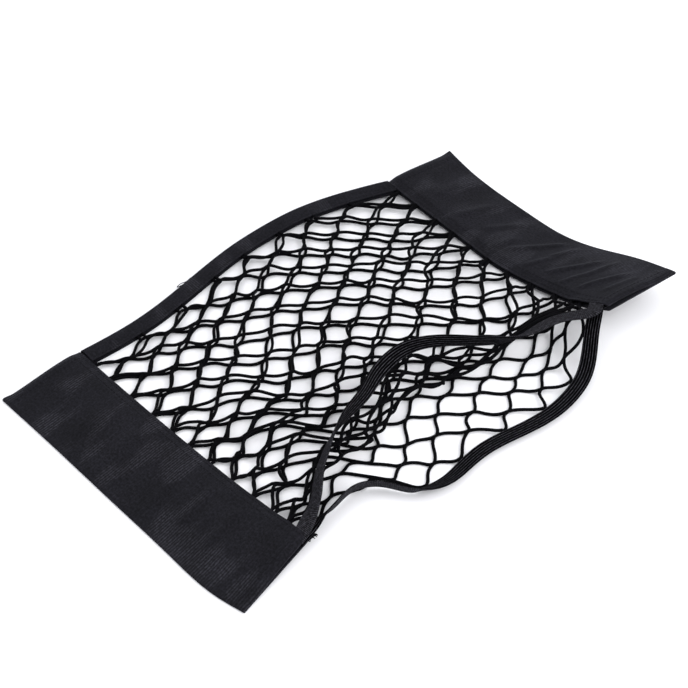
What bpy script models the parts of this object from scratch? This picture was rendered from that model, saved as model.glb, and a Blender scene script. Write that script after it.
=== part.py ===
# Elastic cargo net pocket for a car boot, lying on a flat surface.
# Two layers of diamond mesh share a folded tape at the back and two wide webbing bands at the
# ends. The front edge of each layer ends in a ribbed elastic, so the layers open as a pocket.
# The upper layer's mouth is turned up and back over itself, and the lower layer's lies in front.
# X runs from the left band to the right band, +Y is the closed back, -Y the open mouth, +Z up.
# Lengths in the tables and in the named sizes are millimetres.

import math

import bmesh
import bpy
import numpy as np
from mathutils import Matrix

MM = 0.001
ORIGIN_SHIFT = (0.0056, 0.0067, 0.0)    # puts the origin under the middle of the whole net

# Driving sizes.
PLY = 1.2                  # one thickness of webbing
SEAM_GAP = 0.5             # clearance between pieces that are sewn together
NET_THICK = 1.1            # thickness of a net layer
STRAND = 1.7               # width of a net strand
SLOT_DEPTH = 9.0           # how deep the nets' edges lie between two plies
MARGIN_DEPTH = 7.5         # how far into the slot a net's margin goes
LIP = 0.6                  # a net's first joins stand this far outside the slot
FOLD_THICK = 2.4           # a tape at its folded edge
LIP_DROOP = 0.35           # fall of a lower ply for each unit that it stands out
SLOT_POINT = 1.2           # the slot ends in a point, this much deeper
LEVEL_TOP = 2.5            # a tape's top stays level this far past the slot
FOLD_ROUND = 0.9           # width of the bevel at a tape's folded edge
CREASE_RISE = 16.0         # across a tape a crease rises over this much, and falls over the next
CREASE_FALL = 10.0
CREASE_ENDS = 0.1          # share of a tape at each end over which the creases fade out
CREASE_DRIFT = 1.3         # how unevenly the creases are spaced
ELASTIC_WIDTH = 12.0
ELASTIC_THICK = 2.0
RIB_DEPTH = 0.45
RIBS = 5
END_TWIST = 22.0           # length over which an elastic turns to lie flat on a band
DIAMONDS_ACROSS = 7        # along X
DIAMONDS_DEEP = 7          # along Y
EDGE_CORD = 3.0            # solid edge of a net beside its elastic
EDGE_GAP = 0.8             # between a net's edge and its elastic
CELL_WIDTH = 20.8          # half a diamond along X and along Y, before the net is draped
CELL_DEPTH = 15.6
FLOOR_CLEAR = 0.15         # underside of the lying net over the surface
BILLOW = 2.4               # how far the upper layer's soft waves rise
BILLOWS = 1.5              # how many of these waves lie side by side
SETTLE = 0.16              # share of the lower layer's run in which it comes down
LIFT_SHARE = 0.75          # how far along X a net has drifted to its elastic where it turns
SIDE_HOLD = 2.4            # columns over which a net's side comes down to its band
RUN_STEPS = 14
TURN_STEPS = 22

SLOT_HEIGHT = 2 * NET_THICK + 3 * SEAM_GAP
TAPE_THICK = 2 * PLY + SLOT_HEIGHT
LOWER_STACK = PLY + SEAM_GAP + NET_THICK / 2
UPPER_STACK = LOWER_STACK + NET_THICK + SEAM_GAP


class Table:
    """Rows with named columns, read between the rows by a natural cubic spline.

    The spline runs on the first column, or with measured=True on the chord length of x, y and z.
    """

    def __init__(self, columns, rows, measured=False):
        self.names = columns.split()
        self.values = np.array(rows, float)
        if measured:
            places = self.values[:, [self.names.index(name) for name in "xyz"]]
            steps = np.linalg.norm(np.diff(places, axis=0), axis=1)
            knots = np.concatenate([[0.0], np.cumsum(steps)])
            self.knots = knots / knots[-1]
            self.length = knots[-1]
        else:
            self.knots = self.values[:, 0]
        self.bends = self.second_derivatives()

    def second_derivatives(self):
        count = len(self.knots)
        span = np.diff(self.knots)
        system = np.eye(count)
        right = np.zeros_like(self.values)
        slope = np.diff(self.values, axis=0) / span[:, None]
        for row in range(1, count - 1):
            system[row, row - 1:row + 2] = span[row - 1], 2 * (span[row - 1] + span[row]), span[row]
            right[row] = 6 * (slope[row] - slope[row - 1])
        return np.linalg.solve(system, right)

    def row(self, share):
        last = len(self.knots) - 2
        low = int(np.clip(np.searchsorted(self.knots, share) - 1, 0, last))
        span = self.knots[low + 1] - self.knots[low]
        b = (share - self.knots[low]) / span
        a = 1 - b
        curve = (a ** 3 - a) * self.bends[low] + (b ** 3 - b) * self.bends[low + 1]
        return a * self.values[low] + b * self.values[low + 1] + curve * span ** 2 / 6

    def value(self, share, name):
        return self.row(share)[self.names.index(name)]

    def vector(self, share, prefix=""):
        row = self.row(share)
        return np.array([row[self.names.index(prefix + axis)] for axis in "xyz"])


def unit(vector):
    return vector / np.linalg.norm(vector)


def ease(share):
    share = min(max(share, 0.0), 1.0)
    return share * share * (3 - 2 * share)


def blend(start, end, share):
    return start + (end - start) * share


def turned(out, up, angle):
    return math.cos(math.radians(angle)) * out + math.sin(math.radians(angle)) * up


# Tapes: a row for each place along the tape. Inner is the slot's edge, where the nets go in,
# and outer the folded edge. The points are on the tape's underside. Reach is how far the lower
# ply stands out past the upper one.
TAPE_COLUMNS = "share inner_x inner_y inner_z outer_x outer_y outer_z reach"

LEFT_BAND = Table(TAPE_COLUMNS, [
    (0.00, -151.5, 127.0, 0.0, -219.2, 126.5, 0.0, 0.0),
    (0.25, -153.0, 65.0, 0.0, -219.8, 62.5, 0.0, 0.0),
    (0.50, -153.5, 3.0, 0.0, -221.2, -1.8, 0.0, 0.0),
    (0.75, -153.0, -58.0, 1.0, -222.6, -65.5, 0.0, 0.0),
    (0.90, -152.6, -95.0, 4.0, -222.4, -104.5, 0.0, 0.0),
    (1.00, -153.0, -118.5, 6.0, -217.7, -129.9, 0.0, 9.0),
])

RIGHT_BAND = Table(TAPE_COLUMNS, [
    (0.00, 147.1, 112.2, 4.0, 212.1, 104.4, 8.0, 0.0),
    (0.12, 144.6, 84.5, 3.5, 206.3, 76.0, 6.2, 0.0),
    (0.40, 139.1, 19.2, 2.4, 203.0, 9.4, 2.0, 0.0),
    (0.55, 136.8, -15.7, 1.8, 204.0, -26.0, 0.4, 0.0),
    (0.68, 138.6, -46.0, 2.4, 207.6, -57.5, 4.0, 0.0),
    (0.80, 139.4, -74.0, 6.4, 209.6, -86.5, 12.4, 0.0),
    (0.90, 138.6, -97.0, 13.2, 207.4, -109.6, 20.6, 0.0),
    (1.00, 142.3, -120.4, 22.0, 202.4, -132.8, 29.6, 0.0),
])

BACK_BINDING = Table(TAPE_COLUMNS, [
    (0.00, -150.8, 112.8, 0.0, -150.6, 127.8, 0.0, 0.0),
    (0.14, -108.0, 111.4, 0.0, -108.2, 126.4, 0.0, 0.0),
    (0.33, -51.5, 118.2, 0.3, -52.9, 133.1, 0.3, 0.0),
    (0.44, -18.0, 123.9, 1.0, -20.8, 138.6, 1.0, 0.0),
    (0.54, 10.2, 126.6, 2.0, 9.1, 141.5, 2.3, 0.0),
    (0.63, 37.0, 127.0, 2.4, 37.4, 142.0, 2.8, 0.0),
    (0.73, 64.6, 126.0, 2.0, 66.7, 140.9, 2.4, 0.0),
    (0.85, 98.4, 118.6, 2.0, 102.1, 133.1, 2.5, 0.0),
    (0.93, 121.4, 110.0, 2.8, 126.1, 124.2, 3.0, 0.0),
    (1.00, 145.2, 100.0, 3.7, 146.4, 115.0, 4.0, 0.0),
])

# Where a net's edge meets a band, as a share along the band: the hem in the binding's slot, the
# first joins, the last joins and the front edge.
LEFT_ROWS = (0.045, 0.075, 0.935, 0.948)
RIGHT_ROWS = (0.030, 0.064, 0.922, 0.936)

# Elastics: a row for each place along the middle line, from the left band to the right band.
# Roll turns the free edge: 0 lies flat and points out of the mouth, 90 stands on edge, and past
# 90 the elastic leans back over the net.
ELASTIC_COLUMNS = "x y z roll"

LOWER_ELASTIC_ROWS = [
    (-138.0, -110.4, 7.8, 44.0),
    (-121.5, -109.2, 8.2, 70.0),
    (-101.0, -107.2, 8.0, 68.0),
    (-87.6, -114.6, 7.7, 65.0),
    (-79.6, -126.4, 7.2, 64.0),
    (-72.6, -135.4, 6.4, 58.0),
    (-64.0, -139.4, 5.2, 38.0),
    (-48.0, -142.2, 4.0, 22.0),
    (-30.0, -140.6, 3.6, 14.0),
    (-9.7, -139.8, 3.8, 7.0),
    (18.0, -144.8, 4.3, 6.0),
    (46.4, -149.2, 4.8, 4.0),
    (70.8, -147.7, 6.0, 4.0),
    (88.0, -143.2, 8.2, 9.0),
    (104.7, -133.9, 12.0, 20.0),
    (118.9, -123.7, 17.0, 26.0),
    (128.2, -117.6, 20.6, 22.0),
]

UPPER_ELASTIC_ROWS = [
    (-142.4, -107.8, 11.6, 32.0),
    (-126.9, -98.2, 13.8, 74.0),
    (-113.2, -86.3, 16.0, 86.0),
    (-101.3, -78.8, 18.0, 87.0),
    (-88.4, -71.5, 19.6, 90.0),
    (-67.5, -63.5, 20.8, 99.0),
    (-42.5, -57.3, 21.2, 118.0),
    (-27.9, -51.2, 21.2, 130.0),
    (-11.0, -46.6, 21.4, 128.0),
    (4.8, -45.9, 21.8, 112.0),
    (18.1, -49.8, 22.2, 96.0),
    (42.7, -69.0, 22.2, 82.0),
    (66.7, -88.8, 21.2, 60.0),
    (82.7, -95.2, 21.0, 34.0),
    (102.5, -98.4, 21.6, 20.0),
    (117.8, -105.5, 22.6, 14.0),
    (131.6, -113.9, 24.8, 6.0),
]

# The net's turn before its elastic, a row for each place along X. Lead is the roll of the net's
# last stretch: 0 comes from behind and 180 from the front. Start is how far behind the elastic
# the turn begins and run_z its height there. Reach and back are how strongly it runs on.
TURN_COLUMNS = "x lead start run_z reach back"

LOWER_TURN = Table(TURN_COLUMNS, [
    (-150.0, 5.0, 24.0, 1.8, 8.0, 6.0),
    (-120.0, 5.0, 22.0, 0.8, 8.0, 6.0),
    (-50.0, 4.0, 20.0, 0.8, 8.0, 6.0),
    (50.0, 4.0, 24.0, 0.8, 8.0, 8.0),
    (95.0, 12.0, 40.0, 0.8, 12.0, 12.0),
    (137.0, 16.0, 65.0, 2.0, 20.0, 20.0),
])

UPPER_TURN = Table(TURN_COLUMNS, [
    (-150.0, 0.0, 26.0, 8.5, 8.0, 6.0),
    (-138.0, 40.0, 18.0, 6.8, 10.0, 4.0),
    (-122.0, 95.0, 12.0, 5.7, 11.0, 3.5),
    (-106.0, 165.0, 7.0, 5.6, 17.0, 11.0),
    (-90.0, 180.0, 4.0, 6.0, 26.0, 20.0),
    (-70.0, 180.0, 2.0, 6.4, 32.0, 30.0),
    (-45.0, 180.0, 0.0, 7.4, 27.0, 26.0),
    (-24.0, 180.0, 0.0, 7.8, 25.0, 23.0),
    (-5.0, 180.0, 0.0, 7.8, 37.0, 35.0),
    (15.0, 180.0, 0.0, 7.8, 46.0, 44.0),
    (32.0, 180.0, 0.0, 8.4, 41.0, 39.0),
    (50.0, 176.0, 3.0, 9.4, 26.0, 22.0),
    (64.0, 150.0, 8.0, 10.8, 16.0, 9.0),
    (78.0, 80.0, 16.0, 11.8, 12.0, 4.0),
    (92.0, 30.0, 28.0, 12.4, 12.0, 8.0),
    (137.0, 5.0, 45.0, 12.0, 12.0, 12.0),
])


# Tapes.

def tape_point(tape, share, depth, height):
    """A point of a tape: depth from the slot's edge towards the fold, height over the underside.

    What stands out past the slot's edge droops, and nothing goes below the surface.
    """
    inner = tape.vector(share, "inner_")
    outer = tape.vector(share, "outer_")
    across = unit(outer - inner)
    step = 0.01
    ahead = tape.vector(min(share + step, 1.0), "inner_") - tape.vector(max(share - step, 0.0), "inner_")
    normal = unit(np.cross(across, ahead))
    if normal[2] < 0:
        normal = -normal
    point = inner + across * depth + normal * height
    point[2] = max(point[2] - LIP_DROOP * max(-depth - LIP, 0.0), 0.0)
    return point


def tape_width(tape, share):
    return np.linalg.norm(tape.vector(share, "outer_") - tape.vector(share, "inner_"))


def tape_section(width, taper):
    """The folded tape's outline as (depth, height) pairs, with the slot open at depth 0."""
    full = SLOT_DEPTH + LEVEL_TOP
    slope = np.linspace(full, width - FOLD_ROUND, taper)
    top = [(depth, blend(TAPE_THICK, FOLD_THICK, ease((depth - full) / (width - full))))
           for depth in slope]
    floor = [(depth, 0.0) for depth in np.linspace(0.0, width - FOLD_ROUND, taper + 1)]
    middle = PLY + SLOT_HEIGHT / 2
    slot = [(0.0, PLY + SLOT_HEIGHT), (SLOT_DEPTH, PLY + SLOT_HEIGHT),
            (SLOT_DEPTH + SLOT_POINT, middle), (SLOT_DEPTH, PLY), (0.0, PLY)]
    return floor + [(width, FOLD_THICK / 2)] + top[::-1] + [(0.0, TAPE_THICK)] + slot


def crease(share, depth, width, waves, height):
    """Soft creases across a tape, deepest in its middle and none over the nets' margins."""
    across = ease((depth - SLOT_DEPTH - LEVEL_TOP) / CREASE_RISE) * ease((width - depth) / CREASE_FALL)
    along = ease(share / CREASE_ENDS) * ease((1 - share) / CREASE_ENDS)
    wave = math.sin(2 * math.pi * waves * share + CREASE_DRIFT * math.sin(5 * share))
    return height * across * along * (0.5 + 0.5 * wave)


def build_tape(name, tape, stations, taper, waves=0.0, crease_height=0.0):
    rings = []
    for share in np.linspace(0.0, 1.0, stations):
        width = tape_width(tape, share)
        reach = tape.value(share, "reach") if share > 0.95 else 0.0
        ring = []
        for depth, height in tape_section(width, taper):
            if depth == 0.0 and height <= PLY:
                depth = -reach
            lift = crease(share, depth, width, waves, crease_height)
            ring.append(tape_point(tape, share, depth, height + lift))
        rings.append(ring)
    return loft(name, rings, "webbing")


# Elastics.

class Elastic:
    """A ribbed elastic: its middle line, and the frame that its roll gives it."""

    def __init__(self, rows, turn, stack):
        self.turn = turn
        ends = []
        for tape, share in ((LEFT_BAND, LEFT_ROWS[3]), (RIGHT_BAND, RIGHT_ROWS[3])):
            edge = tape_point(tape, share, -LIP, stack)
            along = unit(tape_point(tape, share + 0.03, -LIP, stack) - edge)
            ends.append((edge + along * (ELASTIC_WIDTH / 2 + EDGE_GAP), along))
        self.end_ways = [along for _, along in ends]
        first, last = ([*centre, math.degrees(math.asin(along[2]))] for centre, along in ends)
        self.table = Table(ELASTIC_COLUMNS, [first, *rows, last], measured=True)

    def share_at(self, across):
        """The share along the elastic for a share of the way along X between its ends."""
        shares = np.linspace(0.0, 1.0, 400)
        places = [self.table.value(share, "x") for share in shares]
        return float(np.interp(blend(places[0], places[-1], across), places, shares))

    def directions(self, share):
        """The way along, the level way out of the mouth and the way up, all at right angles."""
        step = 0.004
        tangent = unit(self.table.vector(min(share + step, 1.0)) - self.table.vector(max(share - step, 0.0)))
        out = unit(np.array([tangent[1], -tangent[0], 0.0]))
        up = np.cross(out, tangent)
        return tangent, out, up if up[2] > 0 else -up

    def frame(self, share):
        """Middle point, the way to the free edge, and the face that is up where it lies flat."""
        tangent, out, up = self.directions(share)
        free = turned(out, up, self.table.value(share, "roll"))
        free = self.held_at_ends(share, free)
        return self.table.vector(share), free, unit(np.cross(free, tangent))

    def held_at_ends(self, share, way):
        """Turns a way to that of the band which holds the elastic's end."""
        from_end = min(share, 1 - share) * self.table.length
        end_way = self.end_ways[0 if share < 0.5 else 1]
        return unit(blend(end_way, way, ease(from_end / END_TWIST)))

    def net_edge(self, share):
        """Where the net ends beside the elastic, and the way in which the net arrives there."""
        centre, free, _ = self.frame(share)
        _, out, up = self.directions(share)
        lead = self.held_at_ends(share, turned(out, up, self.turn.value(centre[0], "lead")))
        corner = NET_THICK / 2 * np.linalg.norm(np.cross(free, lead))
        return centre - free * (ELASTIC_WIDTH / 2 + EDGE_GAP + corner), lead


def elastic_section(ribs_up):
    """Flat on one face and ribbed on the other, as (across, height) pairs."""
    half = ELASTIC_WIDTH / 2
    side = 1.0 if ribs_up else -1.0
    ribs = []
    for point in range(2 * RIBS + 1):
        valley = RIB_DEPTH if point % 2 == 0 else 0.0
        ribs.append((-half + point * ELASTIC_WIDTH / (2 * RIBS), side * (ELASTIC_THICK / 2 - valley)))
    return ribs + [(half, -side * ELASTIC_THICK / 2), (-half, -side * ELASTIC_THICK / 2)]


def build_elastic(name, elastic, ribs_up, stations):
    rings = []
    for share in np.linspace(0.0, 1.0, stations):
        centre, free, face = elastic.frame(share)
        rings.append([centre + free * across + face * height
                      for across, height in elastic_section(ribs_up)])
    return loft(name, rings, "elastic")


# Nets.

def bezier(points, share):
    rest = 1 - share
    weights = (rest ** 3, 3 * rest ** 2 * share, 3 * rest * share ** 2, share ** 3)
    return sum(weight * point for weight, point in zip(weights, points))


class Net:
    """One layer: a profile for each place along X, tied at its sides to the bands' slots."""

    def __init__(self, elastic, stack, lies_flat):
        self.elastic = elastic
        self.stack = stack
        self.lies_flat = lies_flat
        self.profiles = {}

    def run_height(self, across, share, start_z, end_z):
        """Height of the run from the binding to where the net begins to lift."""
        if self.lies_flat:
            return blend(start_z, end_z, ease(share / SETTLE))
        wave = 0.5 + 0.5 * math.sin(2 * math.pi * (BILLOWS * across + 0.1))
        return blend(start_z, end_z, ease(share)) + BILLOW * wave * math.sin(math.pi * share)

    def profile(self, across):
        """Points from the binding's mouth to the elastic's edge, and their running length."""
        key = round(across, 5)
        if key in self.profiles:
            return self.profiles[key]
        mouth = tape_point(BACK_BINDING, across, -LIP, self.stack)
        edge, lead = self.elastic.net_edge(self.elastic.share_at(across))
        start, run_z, reach, back = (self.elastic.turn.value(edge[0], name)
                                     for name in ("start", "run_z", "reach", "back"))
        lift = np.array([blend(mouth[0], edge[0], LIFT_SHARE), edge[1] + start, run_z])
        points = []
        for step in np.arange(RUN_STEPS) / RUN_STEPS:
            point = blend(mouth, lift, step)
            point[2] = self.run_height(across, step, mouth[2], run_z)
            points.append(point)
        onward = unit(np.array([edge[0] - mouth[0], edge[1] - mouth[1], 0.0]))
        onward = unit(onward + np.array([0.0, -2.0, 0.0]))
        ways = (lift, lift + onward * reach, edge - lead * back, edge)
        points += [bezier(ways, step) for step in np.linspace(0.0, 1.0, TURN_STEPS)]
        points = np.array(points)
        points[:, 2] = np.maximum(points[:, 2], NET_THICK / 2 + FLOOR_CLEAR)
        lengths = np.concatenate([[0.0], np.cumsum(np.linalg.norm(np.diff(points, axis=0), axis=1))])
        self.profiles[key] = points, lengths
        return points, lengths

    def in_profile(self, across, row, rows):
        """Row 0 is the hem in the binding, 1 the first joins, then the lattice and the edge cord."""
        if row < 1:
            depth = blend(MARGIN_DEPTH, -LIP, row)
            return tape_point(BACK_BINDING, across, depth, self.stack)
        points, lengths = self.profile(across)
        whole = lengths[-1]
        lattice = (whole - EDGE_CORD) / whole
        if row <= rows - 1:
            share = lattice * (row - 1) / (rows - 2)
        else:
            share = blend(lattice, 1.0, row - rows + 1)
        return np.array([np.interp(share * whole, lengths, points[:, axis]) for axis in range(3)])

    def in_band(self, band, row_shares, depth, row, rows):
        share = np.interp(row, (0, 1, rows - 1, rows), row_shares)
        return tape_point(band, share, depth, self.stack)

    def place(self, column, row, columns, rows):
        if column <= 1:
            depth = blend(MARGIN_DEPTH, -LIP, column)
            return self.in_band(LEFT_BAND, LEFT_ROWS, depth, row, rows)
        if column >= columns - 1:
            depth = blend(MARGIN_DEPTH, -LIP, columns - column)
            return self.in_band(RIGHT_BAND, RIGHT_ROWS, depth, row, rows)
        across = (column - 1) / (columns - 2)
        point = self.in_profile(across, row, rows)
        for side, band, shares, from_side in (
                (0.0, LEFT_BAND, LEFT_ROWS, column - 1),
                (1.0, RIGHT_BAND, RIGHT_ROWS, columns - 1 - column)):
            held = self.in_band(band, shares, -LIP, row, rows)
            loose = self.in_profile(side, row, rows)
            drift = held - loose
            near = 1 - from_side / (columns - 2)
            point = point + drift * np.array([near, near, 1 - ease(from_side / SIDE_HOLD)])
        return point

    def place_beside(self, flat, corners, columns, rows):
        """Place a point, one at a strand's side as far from the strand's ends as in the pattern."""
        if corners is None:
            return self.place(flat.x, flat.y, columns, rows)
        before, corner, after = corners
        sides = np.array([(before - corner).xy, (after - corner).xy]).T
        offset = np.array((flat - corner).xy)
        held = self.place(corner.x, corner.y, columns, rows)
        if abs(np.linalg.det(sides)) < 0.01:
            return self.place(flat.x, flat.y, columns, rows)
        shares = np.linalg.solve(sides, offset)
        ends = [self.place(end.x, end.y, columns, rows) - held for end in (before, after)]
        return held + shares[0] * ends[0] + shares[1] * ends[1]


def lattice_mesh(columns, rows, fine_rows, fine_cuts):
    """A flat pattern of strands inside a border of plain cells, one unit to a cell.

    With it come, for each point at the side of a strand, the three corners of the gap beside it.
    """
    bm = bmesh.new()
    spread = Matrix.Translation((columns / 2, rows / 2, 0)) @ Matrix.Diagonal((columns, rows, 1, 1))
    bmesh.ops.create_grid(bm, x_segments=columns, y_segments=rows, size=0.5, matrix=spread)
    inside = [face for face in bm.faces if is_inside(face.calc_center_median(), columns, rows)]
    for face in inside:
        even = [vert for vert in face.verts if round(vert.co.x + vert.co.y) % 2 == 0]
        bmesh.utils.face_split(face, even[0], even[1])
    odd = [vert for vert in bm.verts if round(vert.co.x + vert.co.y) % 2 == 1
           and 1.5 < vert.co.x < columns - 1.5 and 1.5 < vert.co.y < rows - 1.5]
    bmesh.ops.dissolve_verts(bm, verts=odd)
    spokes = []
    for edge in bm.edges:
        middle = (edge.verts[0].co + edge.verts[1].co) / 2
        straight = abs((edge.verts[0].co - edge.verts[1].co).x) < 0.1 or \
            abs((edge.verts[0].co - edge.verts[1].co).y) < 0.1
        if straight and 1.1 < middle.x < columns - 1.1 and 1.1 < middle.y < rows - 1.1:
            spokes.append(edge)
    bmesh.ops.dissolve_edges(bm, edges=spokes, use_verts=False)
    for depth, cuts in ((fine_rows, fine_cuts), (0.01, 1)):
        near = [edge for edge in bm.edges
                if (edge.verts[0].co.y + edge.verts[1].co.y) / 2 > rows - depth]
        bmesh.ops.subdivide_edges(bm, edges=near, cuts=cuts)
    gaps = [face for face in bm.faces if is_inside(face.calc_center_median(), columns, rows)]
    cell = Matrix.Diagonal((CELL_WIDTH, CELL_DEPTH, 1, 1))
    outlines = [[vert.co.copy() for vert in face.verts] for face in gaps]
    bmesh.ops.transform(bm, matrix=cell, verts=bm.verts)
    bmesh.ops.inset_individual(bm, faces=gaps, thickness=STRAND / 2, use_even_offset=True)
    bmesh.ops.transform(bm, matrix=cell.inverted(), verts=bm.verts)
    beside = {}
    for face, outline in zip(gaps, outlines):
        for index, vert in enumerate(face.verts):
            beside[vert] = outline[index - 1], outline[index], outline[(index + 1) % len(outline)]
    bmesh.ops.delete(bm, geom=gaps, context="FACES_ONLY")
    return bm, beside


def is_inside(centre, columns, rows):
    return 1 < centre.x < columns - 1 and 1 < centre.y < rows - 1


def build_net(name, net, fine_rows, fine_cuts):
    columns = 2 * DIAMONDS_ACROSS + 2
    rows = 2 * DIAMONDS_DEEP + 2
    bm, beside = lattice_mesh(columns, rows, fine_rows, fine_cuts)
    placed = {vert: net.place_beside(vert.co, beside.get(vert), columns, rows) for vert in bm.verts}
    for vert, point in placed.items():
        vert.co = point * MM
    bmesh.ops.reverse_faces(bm, faces=bm.faces)
    item = add_object(name, bm, "net_cord")
    solid = item.modifiers.new("thickness", "SOLIDIFY")
    solid.thickness = NET_THICK * MM
    solid.offset = 0.0
    return item


# Shared building.

FINISHES = {
    "webbing": ((0.022, 0.022, 0.024), 0.82),
    "elastic": ((0.016, 0.016, 0.018), 0.62),
    "net_cord": ((0.012, 0.012, 0.013), 0.70),
}


def finish(name):
    material = bpy.data.materials.get(name)
    if material:
        return material
    colour, roughness = FINISHES[name]
    material = bpy.data.materials.new(name)
    material.use_nodes = True
    shader = material.node_tree.nodes["Principled BSDF"]
    shader.inputs["Base Color"].default_value = (*colour, 1.0)
    shader.inputs["Roughness"].default_value = roughness
    shader.inputs["Metallic"].default_value = 0.0
    return material


def add_object(name, bm, material):
    mesh = bpy.data.meshes.new(name)
    bm.to_mesh(mesh)
    bm.free()
    mesh.materials.append(finish(material))
    item = bpy.data.objects.new(name, mesh)
    item.location = ORIGIN_SHIFT
    bpy.data.collections["cargo_net"].objects.link(item)
    return item


def loft(name, rings, material):
    """A closed skin through the rings, which all have the same number of points."""
    around = len(rings[0])
    along = len(rings)
    bm = bmesh.new()
    spread = Matrix.Translation((around / 2, (along - 1) / 2, 0)) @ Matrix.Diagonal((around, along - 1, 1, 1))
    bmesh.ops.create_grid(bm, x_segments=around, y_segments=along - 1, size=0.5, matrix=spread)
    for vert in bm.verts:
        ring = rings[round(vert.co.y)]
        vert.co = ring[round(vert.co.x) % around] * MM
    bmesh.ops.remove_doubles(bm, verts=bm.verts, dist=0.00001)
    bmesh.ops.holes_fill(bm, edges=[edge for edge in bm.edges if edge.is_boundary], sides=0)
    bmesh.ops.recalc_face_normals(bm, faces=bm.faces)
    return add_object(name, bm, material)


def clear_scene():
    for item in list(bpy.data.objects):
        bpy.data.objects.remove(item)
    collection = bpy.data.collections.new("cargo_net")
    bpy.context.scene.collection.children.link(collection)


def main():
    clear_scene()
    build_tape("left_band", LEFT_BAND, stations=18, taper=5)
    build_tape("right_band", RIGHT_BAND, stations=30, taper=6, waves=6.5, crease_height=1.0)
    build_tape("back_binding", BACK_BINDING, stations=28, taper=3)
    elastic_stack = PLY + SEAM_GAP + ELASTIC_THICK / 2
    lower = Elastic(LOWER_ELASTIC_ROWS, LOWER_TURN, elastic_stack)
    upper = Elastic(UPPER_ELASTIC_ROWS, UPPER_TURN, elastic_stack + ELASTIC_THICK + SEAM_GAP)
    build_elastic("elastic_lower", lower, ribs_up=True, stations=58)
    build_elastic("elastic_upper", upper, ribs_up=False, stations=58)
    build_net("net_lower", Net(lower, LOWER_STACK, lies_flat=True), fine_rows=1.5, fine_cuts=1)
    build_net("net_upper", Net(upper, UPPER_STACK, lies_flat=False), fine_rows=4.4, fine_cuts=3)


main()
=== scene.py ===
import math
import random

import bpy
import numpy as np
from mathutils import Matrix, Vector


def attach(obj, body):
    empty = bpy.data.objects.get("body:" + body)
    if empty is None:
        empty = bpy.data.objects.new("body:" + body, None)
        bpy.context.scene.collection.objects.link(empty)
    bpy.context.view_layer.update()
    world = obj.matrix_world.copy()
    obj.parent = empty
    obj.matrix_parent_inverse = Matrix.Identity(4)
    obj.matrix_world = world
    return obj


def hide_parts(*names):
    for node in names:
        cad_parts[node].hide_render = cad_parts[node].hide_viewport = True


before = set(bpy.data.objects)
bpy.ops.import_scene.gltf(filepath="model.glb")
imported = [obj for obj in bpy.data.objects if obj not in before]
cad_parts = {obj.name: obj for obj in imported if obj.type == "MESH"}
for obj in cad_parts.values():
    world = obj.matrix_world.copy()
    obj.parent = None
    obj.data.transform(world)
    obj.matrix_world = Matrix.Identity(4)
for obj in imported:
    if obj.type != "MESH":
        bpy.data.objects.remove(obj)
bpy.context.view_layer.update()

mm = 0.001
originShift = np.array([5.6, 6.7, 0.0])     # from the tables' middle to the frame's origin
clothMap = "clothWay"                       # UV map in metres, along and across a piece
weldDistance = {"cords": 0.0000002, "elastics": 0.00002}    # metres
fineShares = np.linspace(0.0, 1.0, 400)     # for reading a line at even spots

# What the seams share: plies, the slot between them, and where the layers' edges lie in it.
seam = {
    "ply": 1.2, "gap": 0.5, "netThick": 1.1, "slotDepth": 9.0, "lip": 0.6, "levelTop": 2.5,
    "foldThick": 2.4, "lipDroop": 0.35, "clothThick": 1.0, "mouthDrop": 1.7,
}
slotHeight = 2 * seam["netThick"] + 3 * seam["gap"]
tapeThick = 2 * seam["ply"] + slotHeight
netStacks = (2.1, 3.1)      # heights of the two layers' cords where the tapes pinch them


# Small helpers.

def clearSelection():
    bpy.ops.object.select_all(action="DESELECT")
    bpy.context.view_layer.objects.active = None


def pick(item):
    clearSelection()
    item.select_set(True)
    bpy.context.view_layer.objects.active = item


def unit(vectors):
    return vectors / np.linalg.norm(vectors, axis=-1, keepdims=True)


def ease(share):
    share = np.clip(share, 0.0, 1.0)
    return share * share * (3 - 2 * share)


def blend(start, end, share):
    return start + (end - start) * share


def runAlong(points):
    # How far along its line each point lies.
    steps = np.linalg.norm(np.diff(points, axis=0), axis=1)
    return np.concatenate([[0.0], np.cumsum(steps)])


def pointsAt(spots, run, line):
    # The places that lie so far along a line of points.
    return np.stack([np.interp(spots, run, line[:, axis]) for axis in range(3)], axis=1)


def smoothTable(rows, measured=False):
    # A natural cubic spline through rows of numbers. It runs on the first column, or if
    # measured on the chord length of the first three.
    rows = np.array(rows, float)
    if measured:
        run = runAlong(rows[:, :3])
        knots, values, length = run / run[-1], rows, run[-1]
    else:
        knots, values, length = rows[:, 0], rows[:, 1:], 1.0
    span = np.diff(knots)
    slope = np.diff(values, axis=0) / span[:, None]
    system = np.eye(len(knots))
    right = np.zeros_like(values)
    for row in range(1, len(knots) - 1):
        system[row, row - 1:row + 2] = span[row - 1], 2 * (span[row - 1] + span[row]), span[row]
        right[row] = 6 * (slope[row] - slope[row - 1])
    bends = np.linalg.solve(system, right)

    def at(share):
        share = np.asarray(share, float)
        low = np.clip(np.searchsorted(knots, share) - 1, 0, len(span) - 1)
        width = span[low][..., None]
        b = (share - knots[low])[..., None] / width
        a = 1 - b
        curve = (a ** 3 - a) * bends[low] + (b ** 3 - b) * bends[low + 1]
        return a * values[low] + b * values[low + 1] + curve * width ** 2 / 6

    at.length = length
    return at


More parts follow.
